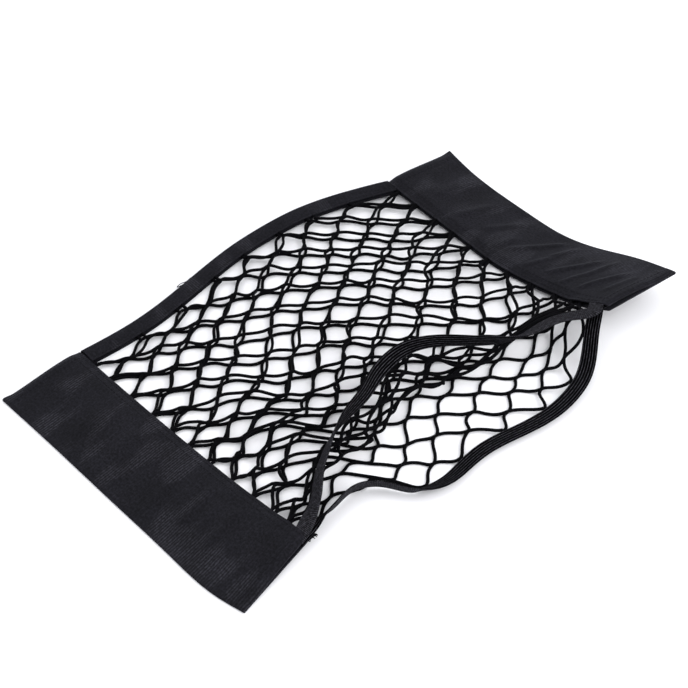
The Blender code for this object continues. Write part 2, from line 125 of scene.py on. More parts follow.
def gridMesh(name, places, along, across, material):
    # A primitive grid whose points go to places[i][j]. Along and across say where i and j lie on
    # the cloth map, in millimetres here and in metres on the map.
    rows, columns = places.shape[:2]
    clearSelection()
    bpy.ops.mesh.primitive_grid_add(x_subdivisions=rows - 1, y_subdivisions=columns - 1, size=2.0)
    item = bpy.context.object
    item.name = name
    item.data.name = name
    flat = np.zeros(len(item.data.vertices) * 3)
    item.data.vertices.foreach_get("co", flat)
    flat = flat.reshape(-1, 3)
    i = np.rint((flat[:, 0] + 1) / 2 * (rows - 1)).astype(int)
    j = np.rint((flat[:, 1] + 1) / 2 * (columns - 1)).astype(int)
    item.data.vertices.foreach_set("co", ((places[i, j] + originShift) * mm).ravel())
    corners = np.zeros(len(item.data.loops), int)
    item.data.loops.foreach_get("vertex_index", corners)
    spots = np.stack([along[i[corners]], across[j[corners]]], axis=1) * mm
    layer = item.data.uv_layers[0]
    layer.name = clothMap
    layer.uv.foreach_set("vector", spots.astype(np.float32).ravel())
    item.data.materials.append(material)
    item.data.update()
    bpy.ops.object.shade_smooth()
    return item


def applyAll(item):
    pick(item)
    for modifier in list(item.modifiers):
        bpy.ops.object.modifier_apply(modifier=modifier.name)


def weld(item, distance):
    pick(item)
    bpy.ops.object.mode_set(mode="EDIT")
    bpy.ops.mesh.select_all(action="SELECT")
    bpy.ops.mesh.remove_doubles(threshold=distance)
    bpy.ops.object.mode_set(mode="OBJECT")


def faceOutwards(item):
    pick(item)
    bpy.ops.object.mode_set(mode="EDIT")
    bpy.ops.mesh.select_all(action="SELECT")
    bpy.ops.mesh.normals_make_consistent(inside=False)
    bpy.ops.object.mode_set(mode="OBJECT")


def cordMesh(name, paths, radius, material):
    # Round cords along lists of points, made as bevelled curves and turned into one mesh.
    curve = bpy.data.curves.new(name, "CURVE")
    curve.dimensions = "3D"
    curve.bevel_depth = radius * mm
    curve.bevel_resolution = 1
    curve.use_fill_caps = True
    for path in paths:
        points = (np.asarray(path) + originShift) * mm
        spline = curve.splines.new("POLY")
        spline.points.add(len(points) - 1)
        spline.points.foreach_set("co", np.column_stack([points, np.ones(len(points))]).ravel())
        spline.use_smooth = True
    item = bpy.data.objects.new(name, curve)
    bpy.context.scene.collection.objects.link(item)
    pick(item)
    bpy.ops.object.convert(target="MESH")
    item = bpy.context.object
    item.name = name
    weld(item, weldDistance["cords"])
    item.data.materials.clear()
    item.data.materials.append(material)
    bpy.ops.object.shade_smooth()
    return item


def placeOn(item, node):
    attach(item, "root")
    if node:
        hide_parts(node)


# Finishes. Each reads the cloth map in metres, or Object coordinates where a piece has none.

def newMaterial(name, values):
    material = bpy.data.materials.new(name)
    material.use_nodes = True
    shader = material.node_tree.nodes["Principled BSDF"]
    shader.inputs["Roughness"].default_value = values["roughness"]
    shader.inputs["Sheen Weight"].default_value = values["sheen"]
    shader.inputs["Sheen Roughness"].default_value = values["sheenRoughness"]
    shader.inputs["Sheen Tint"].default_value = (*values["sheenTint"], 1.0)
    shader.inputs["Specular IOR Level"].default_value = values["specular"]
    return material, shader


def addNode(material, kind, **settings):
    node = material.node_tree.nodes.new(kind)
    for name, value in settings.items():
        if name in node.inputs:
            node.inputs[name].default_value = value
        else:
            setattr(node, name, value)
    return node


def wire(material, source, target):
    material.node_tree.links.new(source, target)


def ramp(material, source, low, high, lowColour, highColour):
    node = addNode(material, "ShaderNodeValToRGB")
    node.color_ramp.elements[0].position = low
    node.color_ramp.elements[1].position = high
    node.color_ramp.elements[0].color = (*lowColour, 1.0)
    node.color_ramp.elements[1].color = (*highColour, 1.0)
    wire(material, source, node.inputs["Fac"])
    return node.outputs["Color"]


def maths(material, operation, first, second):
    node = addNode(material, "ShaderNodeMath", operation=operation)
    for index, value in enumerate((first, second)):
        if isinstance(value, (int, float)):
            node.inputs[index].default_value = value
        else:
            wire(material, value, node.inputs[index])
    return node.outputs["Value"]


def multiply(material, first, second):
    node = addNode(material, "ShaderNodeMix", data_type="RGBA", blend_type="MULTIPLY")
    node.inputs["Factor"].default_value = 1.0
    wire(material, first, node.inputs["A"])
    wire(material, second, node.inputs["B"])
    return node.outputs["Result"]


def bands(material, place, direction, pitch, distortion, detailScale):
    # Bands across one direction of the map, pitch in millimetres.
    wave = addNode(material, "ShaderNodeTexWave", wave_type="BANDS", bands_direction=direction)
    wave.inputs["Scale"].default_value = 2 * math.pi / 20 / (pitch * mm)
    wave.inputs["Distortion"].default_value = distortion
    wave.inputs["Detail"].default_value = 1.0
    wave.inputs["Detail Scale"].default_value = detailScale
    wire(material, place, wave.inputs["Vector"])
    return wave.outputs["Fac"]


def noise(material, place, size, detail, roughness):
    # Soft random patches, size in millimetres.
    node = addNode(material, "ShaderNodeTexNoise")
    node.inputs["Scale"].default_value = 1 / (size * mm)
    node.inputs["Detail"].default_value = detail
    node.inputs["Roughness"].default_value = roughness
    wire(material, place, node.inputs["Vector"])
    return node.outputs["Fac"]


def bump(material, shader, height, distance):
    node = addNode(material, "ShaderNodeBump")
    node.inputs["Strength"].default_value = 1.0
    node.inputs["Distance"].default_value = distance * mm
    wire(material, height, node.inputs["Height"])
    wire(material, node.outputs["Normal"], shader.inputs["Normal"])


# In the looks, ribs, threads and the elastic's knit are given by pitch, unevenness and its scale,
# patches by size, detail and roughness, and ramps by their ends and the colours there.

webbingLook = {
    "roughness": 0.80, "sheen": 0.04, "sheenRoughness": 0.5, "sheenTint": (0.82, 0.84, 1.0),
    "specular": 0.05, "ribs": (1.9, 0.9, 60.0), "threads": (0.62, 0.6, 60.0),
    "ribShare": 0.75, "threadShare": 0.25, "lintShare": 0.45, "ribHeight": 0.24,
    "lint": (1.9, 3.0, 0.7), "patches": (26.0, 2.0, 0.5), "ribReliefAndShine": (20.0, 1.0, 0.5),
    "reliefAndShineStretch": (1.0, 0.4, 1.0),
    # groups of ribs, raised in relief and lightened as painted highlight streaks
    "reliefAndShineRamp": (0.51, 0.61, (0.10, 0.10, 0.10), (1.0, 1.0, 1.0)),
    # the webbing's own near-black tone, with painted shade between the ribs and threads and painted
    # highlights on their crests
    "toneAndRibShadeRamp": (0.02, 0.95, (0.0044, 0.0043, 0.0057), (0.0180, 0.0176, 0.0208)),
    "wornRamp": (0.30, 0.72, (0.80, 0.80, 0.80), (1.25, 1.25, 1.28)),
    "dustyRamp": (0.36, 0.72, (0.55, 0.55, 0.55), (1.90, 1.90, 1.96)),
}


def webbingMaterial(name, values):
    material, shader = newMaterial(name, values)
    place = addNode(material, "ShaderNodeUVMap", uv_map=clothMap).outputs["UV"]
    ribs = bands(material, place, "X", *values["ribs"])
    threads = bands(material, place, "Y", *values["threads"])
    lint = noise(material, place, *values["lint"])
    patches = noise(material, place, *values["patches"])
    # The crosswise ribs stand out in groups, raised in relief and lightened in colour as painted highlight
    # streaks.
    stretched = addNode(material, "ShaderNodeMapping")
    stretched.inputs["Scale"].default_value = values["reliefAndShineStretch"]
    wire(material, place, stretched.inputs["Vector"])
    ribReliefAndShine = noise(material, stretched.outputs["Vector"], *values["ribReliefAndShine"])
    reliefAndShineMask = ramp(material, ribReliefAndShine, *values["reliefAndShineRamp"])
    ribsInReliefAndShine = maths(material, "MULTIPLY", ribs, reliefAndShineMask)
    weave = maths(material, "ADD", maths(material, "MULTIPLY", ribsInReliefAndShine, values["ribShare"]),
                  maths(material, "MULTIPLY", threads, values["threadShare"]))
    # Painted shade and highlight: darker between the ribs and threads, lighter on their crests, over the
    # webbing's own tone.
    colour = ramp(material, weave, *values["toneAndRibShadeRamp"])
    worn = ramp(material, patches, *values["wornRamp"])
    dusty = ramp(material, lint, *values["dustyRamp"])
    wire(material, multiply(material, multiply(material, colour, worn), dusty),
         shader.inputs["Base Color"])
    height = maths(material, "ADD", weave, maths(material, "MULTIPLY", lint, values["lintShare"]))
    bump(material, shader, height, values["ribHeight"])
    return material


elasticLook = {
    "roughness": 0.60, "sheen": 0.01, "sheenRoughness": 0.45, "sheenTint": (0.85, 0.86, 1.0),
    "specular": 0.01, "knit": (1.25, 1.6, 90.0), "ribs": (2.0, 0.25, 30.0),
    "lint": (2.1, 3.0, 0.7), "lintShare": 0.4, "knitHeight": 0.12,
    # ribbed face: its own near-black, with painted highlight lines on the rib crests and painted shade in
    # the grooves
    "ribbedToneAndHighlightRamp": (0.90, 1.0, (0.0002, 0.0002, 0.0004), (0.0600, 0.0585, 0.0665)),
    "plainRamp": (0.1, 0.95, (0.0034, 0.0033, 0.0043), (0.0310, 0.0304, 0.0345)),
    "dustyRamp": (0.40, 0.66, (0.45, 0.45, 0.45), (2.00, 2.00, 2.06)),
    "plainMark": 40.0,      # how far the plain face's middle lies from the ribbed one's on the map
}


def elasticMaterial(name, values):
    material, shader = newMaterial(name, values)
    place = addNode(material, "ShaderNodeUVMap", uv_map=clothMap).outputs["UV"]
    knit = bands(material, place, "X", *values["knit"])
    ribs = bands(material, place, "Y", *values["ribs"])
    lint = noise(material, place, *values["lint"])
    # Painted highlight: thin light lines on the rib crests of the near-black ribbed face; painted shade
    # darkens the grooves.
    ribbedToneAndHighlights = ramp(material, ribs, *values["ribbedToneAndHighlightRamp"])
    plain = ramp(material, knit, *values["plainRamp"])
    across = addNode(material, "ShaderNodeSeparateXYZ")
    wire(material, place, across.inputs["Vector"])
    isPlain = maths(material, "GREATER_THAN", across.outputs["Y"], values["plainMark"] / 2 * mm)
    face = addNode(material, "ShaderNodeMix", data_type="RGBA")
    wire(material, isPlain, face.inputs["Factor"])
    wire(material, ribbedToneAndHighlights, face.inputs["A"])
    wire(material, plain, face.inputs["B"])
    dusty = ramp(material, lint, *values["dustyRamp"])
    wire(material, multiply(material, face.outputs["Result"], dusty), shader.inputs["Base Color"])
    height = maths(material, "ADD", knit, maths(material, "MULTIPLY", lint, values["lintShare"]))
    bump(material, shader, height, values["knitHeight"])
    return material


cordLook = {
    "roughness": 0.75, "sheen": 0.005, "sheenRoughness": 0.5, "sheenTint": (0.85, 0.86, 1.0),
    "specular": 0.03, "knit": (0.55, 2.0, 0.6), "patches": (9.0, 1.0, 0.5), "knitHeight": 0.12,
    "knitRamp": (0.35, 0.75, (0.0006, 0.0006, 0.0009), (0.0034, 0.0033, 0.0043)),
    "wornRamp": (0.35, 0.70, (0.8, 0.8, 0.8), (1.3, 1.3, 1.35)),
}
threadLook = {
    **cordLook, "knit": (0.25, 2.0, 0.6),
    "knitRamp": (0.35, 0.75, (0.0050, 0.0050, 0.0062), (0.0130, 0.0125, 0.0150)),
}


def cordMaterial(name, values):
    # A cord's knit is too fine for bands, so it is given as patches.
    material, shader = newMaterial(name, values)
    place = addNode(material, "ShaderNodeTexCoord").outputs["Object"]
    knit = noise(material, place, *values["knit"])
    patches = noise(material, place, *values["patches"])
    colour = ramp(material, knit, *values["knitRamp"])
    worn = ramp(material, patches, *values["wornRamp"])
    wire(material, multiply(material, colour, worn), shader.inputs["Base Color"])
    bump(material, shader, knit, values["knitHeight"])
    return material


webbing = webbingMaterial("webbing", webbingLook)
elasticCloth = elasticMaterial("ribbed elastic", elasticLook)
netCord = cordMaterial("net cord", cordLook)
thread = cordMaterial("sewing thread", threadLook)
print("finishes made")


# Tapes: the two bands and the binding. Each is one strip folded over, mouth to fold to mouth.

# In tapeShape, reachFrom, creaseFromEnds and closingShare are shares of a tape's length.
tapeShape = {
    "reachFrom": 0.95, "bendSteps": 5,      # the lower ply's longer corner, and the fold's round
    "creaseAfterMouth": 16.0, "creaseBeforeFold": 10.0, "creaseFromEnds": 0.1,
    "waveSwing": 1.3, "waveBends": 5.0,     # they make the broad creases uneven
    "streakStart": 8.0, "streakEnd": 12.0, "hemLead": 0.8, "hemStep": 1.2,
    "pinchReach": 4.0, "pinchBeforeFold": 10.0, "closingShare": 0.05, "closingLip": 1.0,
}
stitch = {
    "pitch": 3.1, "length": 2.3, "first": 0.6, "radius": 0.19, "looseRadius": 0.30,
    "parts": (0.0, 0.15, 0.5, 0.85, 1.0), "rise": (-0.25, 0.05, 0.14, 0.05, -0.25),
}


def tapePoint(rows, share, depth, height):
    # The place that lies depth in from a tape's mouth and height above its lower face. What
    # reaches out past the lip droops.
    row = rows(share)
    inner, outer = row[..., 0:3], row[..., 3:6]
    across = unit(outer - inner)
    step = 0.01
    ahead = rows(np.minimum(share + step, 1.0))[..., 0:3] - rows(np.maximum(share - step, 0.0))[..., 0:3]
    normal = unit(np.cross(across, ahead))
    normal = np.where(normal[..., 2:3] < 0, -normal, normal)
    point = inner + across * depth[..., None] + normal * height[..., None]
    droop = seam["lipDroop"] * np.maximum(-depth - seam["lip"], 0.0)
    point[..., 2] = np.maximum(point[..., 2] - droop, 0.0)
    return point


def tapeSpot(rows, share, depth, height):
    return tapePoint(rows, np.array([share]), np.array([depth]), np.array([height]))[0]


def tapeWidth(rows, share):
    row = rows(share)
    return np.linalg.norm(row[..., 3:6] - row[..., 0:3], axis=-1)


def topHeight(depth, width):
    # Level over the slot, then down to the fold.
    full = seam["slotDepth"] + seam["levelTop"]
    return blend(tapeThick, seam["foldThick"], ease((depth - full) / (width - full)))


def softCreases(values, share, depth, width):
    # Broad creases along the solid's own, and narrower streaks that differ from place to place.
    ends = tapeShape["creaseFromEnds"]
    across = ease((depth - seam["slotDepth"] - seam["levelTop"]) / tapeShape["creaseAfterMouth"]) \
        * ease((width - depth) / tapeShape["creaseBeforeFold"])
    along = ease(share / ends) * ease((1 - share) / ends)
    uneven = tapeShape["waveSwing"] * np.sin(tapeShape["waveBends"] * share)
    wave = np.sin(2 * math.pi * values["waves"] * share + uneven)
    broad = values["creaseHeight"] * across * along * (0.5 + 0.5 * wave)
    streaks = np.zeros_like(broad)
    for where, start, reach, breadth, height, slant in values["streaks"]:
        lengthways = np.exp(-((share * values["length"] - where - slant * (depth - start)) / breadth) ** 2)
        widthways = ease((depth - start) / tapeShape["streakStart"] + 0.5) \
            * ease((start + reach - depth) / tapeShape["streakEnd"])
        streaks = streaks + height * lengthways * widthways
    return broad + streaks


def tapeTop(rows, values, share, depth):
    # The upper face of a folded tape.
    width = tapeWidth(rows, share)
    fromEnd = np.minimum(share, 1 - share) * values["length"]
    hemEdge = values["hemWidth"] + tapeShape["hemLead"]
    hem = values["hemHeight"] * ease((hemEdge - fromEnd) / tapeShape["hemStep"])
    pinch = values["endPinch"] * ease((tapeShape["pinchReach"] - fromEnd) / tapeShape["pinchReach"]) \
        * ease((width - depth) / tapeShape["pinchBeforeFold"])
    closed = ease((values["closedTo"] - share) / tapeShape["closingShare"]) \
        * (1 - ease(depth / (seam["slotDepth"] + tapeShape["closingLip"])))
    height = topHeight(depth, width) + softCreases(values, share, depth, width) + hem - pinch \
        - seam["mouthDrop"] * closed
    return tapePoint(rows, share, depth, height)


def foldedTape(name, values):
    # A sheet from the lower ply's mouth round the fold to the upper ply's, then its thickness.
    rows = smoothTable(values["rows"])
    stations = np.linspace(0.0, 1.0, values["stations"])
    widths = tapeWidth(rows, stations)
    width = float(np.mean(widths))
    foldAt = widths - seam["foldThick"] / 2
    reach = np.where(stations > tapeShape["reachFrom"], rows(stations)[..., 6], 0.0)
    half = seam["clothThick"] / 2
    bendRadius = seam["foldThick"] / 2 - half
    flat = np.linspace(0.0, 1.0, values["acrossCuts"])
    sheet, marks = [], []
    for part in flat:
        depth = blend(-reach, foldAt, part)
        sheet.append(tapePoint(rows, stations, depth, np.full_like(depth, half)))
        marks.append(part * width)
    for degrees in np.linspace(-90.0, 90.0, tapeShape["bendSteps"] + 2)[1:-1]:
        angle = math.radians(degrees)
        depth = foldAt + bendRadius * math.cos(angle)
        height = seam["foldThick"] / 2 + bendRadius * math.sin(angle)
        sheet.append(tapePoint(rows, stations, depth, np.full_like(depth, height)))
        marks.append(width + bendRadius * (angle + math.pi / 2))
    for part in flat[::-1]:
        depth = foldAt * part
        top = tapeTop(rows, values, stations, depth)
        rise = unit(top - tapePoint(rows, stations, depth, np.zeros_like(depth)))
        sheet.append(top - rise * half)
        marks.append(2 * width + math.pi * bendRadius - part * width)
    places = np.array(sheet).transpose(1, 0, 2)
    item = gridMesh(name, places, stations * values["length"], np.array(marks), webbing)
    solid = item.modifiers.new("cloth thickness", "SOLIDIFY")
    solid.thickness = seam["clothThick"] * mm
    solid.offset = 0.0
    solid.use_even_offset = False
    applyAll(item)
    faceOutwards(item)
    bpy.ops.object.shade_smooth_by_angle(angle=math.radians(50))
    return item, rows


def stitchRow(rows, values, line):
    # Short thread stitches on a tape's upper face. Line turns 0 to 1 into share and depth.
    share, depth = line(fineShares)
    places = tapeTop(rows, values, share, depth)
    run = runAlong(places)
    paths = []
    for start in np.arange(stitch["first"], run[-1] - stitch["length"], stitch["pitch"]):
        path = pointsAt(start + stitch["length"] * np.array(stitch["parts"]), run, places)
        path[:, 2] += stitch["rise"]
        paths.append(path)
    return paths


def looseThread(points):
    line = smoothTable(points, measured=True)
    return line(np.linspace(0.0, 1.0, 60))


def frayedEnds(values, seed):
    # Short loose yarns at the lower ply's cut corner, each with a middle off its straight line.
    rand = random.Random(seed)
    rows = smoothTable(values["rows"])
    paths = []
    for depth in np.linspace(*values["frayFrom"], values["frayCount"]):
        start = tapeSpot(rows, values["frayAt"], depth, values["frayHeight"])
        end = start + np.array([rand.uniform(*limits) for limits in values["frayEnd"]])
        sideways, up = (rand.uniform(*limits) for limits in values["frayBend"])
        middle = blend(start, end, values["frayMiddle"]) + np.array([sideways, 0.0, up])
        path = looseThread([start, middle, end])[::6]
        path[:, 2] = np.maximum(path[:, 2], values["frayLow"])
        paths.append(path)
    return paths


# In a tape's rows, the share of its length comes first, then x, y and z of its mouth and of its
# fold, and how far the lower ply's corner reaches past the mouth.

leftBandValues = {
    "rows": [
        (0.00, -151.5, 127.0, 0.0, -219.2, 126.5, 0.0, 0.0),
        (0.25, -153.0, 65.0, 0.0, -219.8, 62.5, 0.0, 0.0),
        (0.50, -153.5, 3.0, 0.0, -221.2, -1.8, 0.0, 0.0),
        (0.75, -153.0, -58.0, 1.0, -222.6, -65.5, 0.0, 0.0),
        (0.90, -152.6, -95.0, 4.0, -222.4, -104.5, 0.0, 0.0),
        (1.00, -153.0, -118.5, 6.0, -217.7, -129.9, 0.0, 9.0),
    ],
    "length": 250.0, "stations": 251, "acrossCuts": 47, "waves": 0.0, "creaseHeight": 0.0,
    "hemWidth": 8.0, "hemHeight": 0.35, "endPinch": 1.6, "closedTo": 0.92,
    "frayFrom": (-8.6, 1.0), "frayCount": 9, "frayAt": 0.995, "frayHeight": 0.6, "frayLow": 0.2,
    "frayEnd": ((-0.6, 1.6), (-3.6, -1.6), (-0.3, 0.9)),    # from and to, in x, y and z
    "frayBend": ((-0.5, 0.5), (0.1, 0.6)), "frayMiddle": 0.55,
    # where along the band, where across, how long, how broad, how high and how slanted
    # each soft streak is
    "streaks": [
        (92.0, 20.0, 42.0, 4.0, 0.75, 0.12), (112.0, 28.0, 36.0, 3.5, 0.60, 0.05),
        (141.0, 16.0, 48.0, 4.0, 0.90, 0.16), (170.0, 14.0, 50.0, 4.0, 0.95, 0.10),
        (181.0, 20.0, 40.0, 3.0, 0.70, 0.18), (197.0, 16.0, 38.0, 3.5, 0.80, 0.06),
        (210.0, 30.0, 30.0, 3.0, 0.65, 0.14), (58.0, 24.0, 34.0, 5.5, 0.55, 0.10),
        (28.0, 20.0, 36.0, 6.0, 0.50, 0.08), (228.0, 26.0, 28.0, 3.5, 0.55, 0.12),
    ],
}

rightBandValues = {
    "rows": [
        (0.00, 147.1, 112.2, 4.0, 212.1, 104.4, 8.0, 0.0),
        (0.12, 144.6, 84.5, 3.5, 206.3, 76.0, 6.2, 0.0),
        (0.40, 139.1, 19.2, 2.4, 203.0, 9.4, 2.0, 0.0),
        (0.55, 136.8, -15.7, 1.8, 204.0, -26.0, 0.4, 0.0),
        (0.68, 138.6, -46.0, 2.4, 207.6, -57.5, 4.0, 0.0),
        (0.80, 139.4, -74.0, 6.4, 209.6, -86.5, 12.4, 0.0),
        (0.90, 138.6, -97.0, 13.2, 207.4, -109.6, 20.6, 0.0),
        (1.00, 142.3, -120.4, 22.0, 202.4, -132.8, 29.6, 0.0),
    ],
    "length": 246.0, "stations": 247, "acrossCuts": 47, "waves": 6.5, "creaseHeight": 1.0,
    "hemWidth": 9.0, "hemHeight": 0.45, "endPinch": 1.6, "closedTo": 0.90,
    "streaks": [
        (40.0, 18.0, 40.0, 4.0, 0.55, 0.12), (72.0, 16.0, 44.0, 4.0, 0.70, 0.20),
        (98.0, 22.0, 34.0, 3.6, 1.05, 0.40), (118.0, 13.0, 26.0, 3.0, 0.95, 0.22),
        (130.0, 20.0, 42.0, 3.4, 1.45, 0.46), (152.0, 12.0, 28.0, 2.8, 1.10, 0.30),
        (156.0, 34.0, 28.0, 3.0, 1.30, 0.20), (172.0, 16.0, 42.0, 3.0, 1.60, 0.44),
        (190.0, 12.0, 22.0, 2.6, 1.05, 0.25), (197.0, 28.0, 34.0, 3.2, 1.50, 0.12),
        (208.0, 14.0, 40.0, 2.8, 1.30, 0.38), (227.0, 18.0, 32.0, 2.6, 0.85, 0.12),
    ],
}

bindingValues = {
    "rows": [
        (0.00, -150.8, 112.8, 0.0, -150.6, 127.8, 0.0, 0.0),
        (0.14, -108.0, 111.4, 0.0, -108.2, 126.4, 0.0, 0.0),
        (0.33, -51.5, 118.2, 0.3, -52.9, 133.1, 0.3, 0.0),
        (0.44, -18.0, 123.9, 1.0, -20.8, 138.6, 1.0, 0.0),
        (0.54, 10.2, 126.6, 2.0, 9.1, 141.5, 2.3, 0.0),
        (0.63, 37.0, 127.0, 2.4, 37.4, 142.0, 2.8, 0.0),
        (0.73, 64.6, 126.0, 2.0, 66.7, 140.9, 2.4, 0.0),
        (0.85, 98.4, 118.6, 2.0, 102.1, 133.1, 2.5, 0.0),
        (0.93, 121.4, 110.0, 2.8, 126.1, 124.2, 3.0, 0.0),
        (1.00, 145.2, 100.0, 3.7, 146.4, 115.0, 4.0, 0.0),
    ],
    "length": 302.0, "stations": 303, "acrossCuts": 13, "waves": 0.0, "creaseHeight": 0.0,
    "hemWidth": 0.0, "hemHeight": 0.0, "endPinch": 0.0, "closedTo": 1.06,
    "streaks": [(96.0, 2.0, 14.0, 6.0, 0.3, 0.12), (188.0, 2.0, 14.0, 7.0, 0.3, 0.12),
                (222.0, 2.0, 14.0, 5.0, 0.3, 0.12)],
    "looseThread": [
        (-47.5, 132.4, 2.6), (-50.3, 134.3, 1.8), (-53.0, 134.7, 1.6), (-55.0, 134.1, 2.9),
        (-54.6, 133.2, 4.6), (-52.0, 133.1, 5.2), (-49.4, 133.8, 4.0), (-46.6, 134.7, 2.5),
        (-43.8, 135.0, 2.4), (-41.2, 134.8, 3.6),
    ],
}


def mouthLine(depth, start=0.015, end=0.985):
    return lambda part: (blend(start, end, part), np.full_like(part, depth))


def hemLine(share, start, end):
    return lambda part: (np.full_like(part, share), blend(start, end, part))


def dressTape(name, node, values, lines, ends=()):
    item, rows = foldedTape(name, values)
    paths = [path for line in lines for path in stitchRow(rows, values, line)]
    sewn = [cordMesh(name + "Stitches", paths, stitch["radius"], thread)]
    if ends:
        sewn.append(cordMesh(name + "Threads", ends, stitch["looseRadius"], netCord))
    placeOn(item, node)
    for piece in sewn:
        placeOn(piece, None)
    print(name, "dressed")
    return rows


leftBand = dressTape(
    "bandLeft", "left_band", leftBandValues,
    [mouthLine(2.6), mouthLine(7.2), hemLine(0.028, 4.0, 64.0), hemLine(0.972, 4.0, 64.0)],
    ends=frayedEnds(leftBandValues, seed=3))
rightBand = dressTape(
    "bandRight", "right_band", rightBandValues,
    [mouthLine(2.6), mouthLine(7.2), hemLine(0.028, 4.0, 60.0), hemLine(0.968, 4.0, 58.0)])
binding = dressTape(
    "bindingBack", "back_binding", bindingValues, [mouthLine(1.9, 0.01, 0.99)],
    ends=[looseThread(bindingValues["looseThread"])])


# Elastics.

elasticShape = {
    "width": 12.0, "thick": 1.7, "ribs": 6, "ribDepth": 0.45, "plainDepth": 0.10, "edgeGap": 0.8,
    "ribRound": 0.6, "edgeRound": 8, "edgeThin": 0.35, "stepsPerRib": 6, "stations": 340,
    "endTwist": 22.0, "solidThick": 2.0,
    "tuck": 6.0, "tuckStacks": (1.95, 3.75), "tuckParts": (0.0, 0.35, 0.7),
}

# Where each band holds the nets' back corners, their last cords and the elastics' inner edges,
# as shares of its length.
leftShares = (0.075, 0.935, 0.948)
rightShares = (0.064, 0.922, 0.936)

# x, y, z and roll in degrees along the middle of each elastic
lowerElasticRows = [
    (-138.0, -110.4, 7.8, 44.0), (-121.5, -109.2, 8.2, 70.0), (-101.0, -107.2, 8.0, 68.0),
    (-87.6, -114.6, 7.7, 65.0), (-79.6, -126.4, 7.2, 64.0), (-72.6, -135.4, 6.4, 58.0),
    (-64.0, -139.4, 5.2, 38.0), (-48.0, -142.2, 4.0, 22.0), (-30.0, -140.6, 3.6, 14.0),
    (-9.7, -139.8, 3.8, 7.0), (18.0, -144.8, 4.3, 6.0), (46.4, -149.2, 4.8, 4.0),
    (70.8, -147.7, 6.0, 4.0), (88.0, -143.2, 8.2, 9.0), (104.7, -133.9, 12.0, 20.0),
    (118.9, -123.7, 17.0, 26.0), (128.2, -117.6, 20.6, 22.0),
]
upperElasticRows = [
    (-142.4, -107.8, 11.6, 30.0), (-126.9, -98.2, 13.8, 52.0), (-113.2, -86.3, 16.0, 56.0),
    (-101.3, -78.8, 18.0, 58.0), (-88.4, -71.5, 19.6, 68.0), (-67.5, -63.5, 20.8, 94.0),
    (-42.5, -57.3, 21.2, 118.0), (-27.9, -51.2, 21.2, 130.0), (-11.0, -46.6, 21.4, 128.0),
    (4.8, -45.9, 21.8, 112.0), (18.1, -49.8, 22.2, 96.0), (42.7, -69.0, 22.2, 82.0),
    (66.7, -88.8, 21.2, 60.0), (82.7, -95.2, 21.0, 34.0), (102.5, -98.4, 21.6, 20.0),
    (117.8, -105.5, 22.6, 14.0), (131.6, -113.9, 24.8, 6.0),
]

# x, then lead (degrees), start, runZ, reach and back of a net's turn before its elastic
lowerTurn = smoothTable([
    (-150.0, 5.0, 24.0, 1.8, 8.0, 6.0), (-120.0, 5.0, 22.0, 0.8, 8.0, 6.0),
    (-50.0, 4.0, 20.0, 0.8, 8.0, 6.0), (50.0, 4.0, 24.0, 0.8, 8.0, 8.0),
    (95.0, 12.0, 40.0, 0.8, 12.0, 12.0), (137.0, 16.0, 65.0, 2.0, 20.0, 20.0),
])
upperTurn = smoothTable([
    (-150.0, 0.0, 26.0, 8.5, 8.0, 6.0), (-138.0, 40.0, 18.0, 6.8, 10.0, 4.0),
    (-122.0, 95.0, 12.0, 5.7, 11.0, 3.5), (-106.0, 165.0, 7.0, 5.6, 17.0, 11.0),
    (-90.0, 180.0, 4.0, 6.0, 26.0, 20.0), (-70.0, 180.0, 2.0, 6.4, 32.0, 30.0),
    (-45.0, 180.0, 0.0, 7.4, 27.0, 26.0), (-24.0, 180.0, 0.0, 7.8, 25.0, 23.0),
    (-5.0, 180.0, 0.0, 7.8, 37.0, 35.0), (15.0, 180.0, 0.0, 7.8, 46.0, 44.0),
    (32.0, 180.0, 0.0, 8.4, 41.0, 39.0), (50.0, 176.0, 3.0, 9.4, 26.0, 22.0),
    (64.0, 150.0, 8.0, 10.8, 16.0, 9.0), (78.0, 80.0, 16.0, 11.8, 12.0, 4.0),
    (92.0, 30.0, 28.0, 12.4, 12.0, 8.0), (137.0, 5.0, 45.0, 12.0, 12.0, 12.0),
])


def turned(out, up, degrees):
    angle = np.radians(degrees)[..., None]
    return np.cos(angle) * out + np.sin(angle) * up


def elasticLine(rows, stack):
    # The middle line with its roll, from one band to the other.
    ends, ways = [], []
    for band, share in ((leftBand, leftShares[2]), (rightBand, rightShares[2])):
        edge = tapeSpot(band, share, -seam["lip"], stack)
        along = unit(tapeSpot(band, share + 0.03, -seam["lip"], stack) - edge)
        centre = edge + along * (elasticShape["width"] / 2 + elasticShape["edgeGap"])
        ends.append([*centre, math.degrees(math.asin(along[2]))])
        ways.append(along)
    table = smoothTable([ends[0], *rows, ends[1]], measured=True)
    table.ways = ways
    return table


def heldAtEnds(table, share, way):
    # Near its ends a direction turns into the one along the band that holds the piece.
    fromEnd = np.minimum(share, 1 - share) * table.length
    endWay = np.where((share < 0.5)[..., None], table.ways[0], table.ways[1])
    return unit(blend(endWay, way, ease(fromEnd / elasticShape["endTwist"])[..., None]))


def directions(table, share):
    # Along the line, level out to the front, and up.
    step = 0.004
    tangent = unit(table(np.minimum(share + step, 1.0))[..., :3]
                   - table(np.maximum(share - step, 0.0))[..., :3])
    level = np.stack([tangent[..., 1], -tangent[..., 0], np.zeros_like(share)], axis=-1)
    out = unit(level)
    up = np.cross(out, tangent)
    return tangent, out, np.where(up[..., 2:3] > 0, up, -up)


def elasticFrame(table, share):
    tangent, out, up = directions(table, share)
    row = table(share)
    free = heldAtEnds(table, share, turned(out, up, row[..., 3]))
    return row[..., :3], free, unit(np.cross(free, tangent))


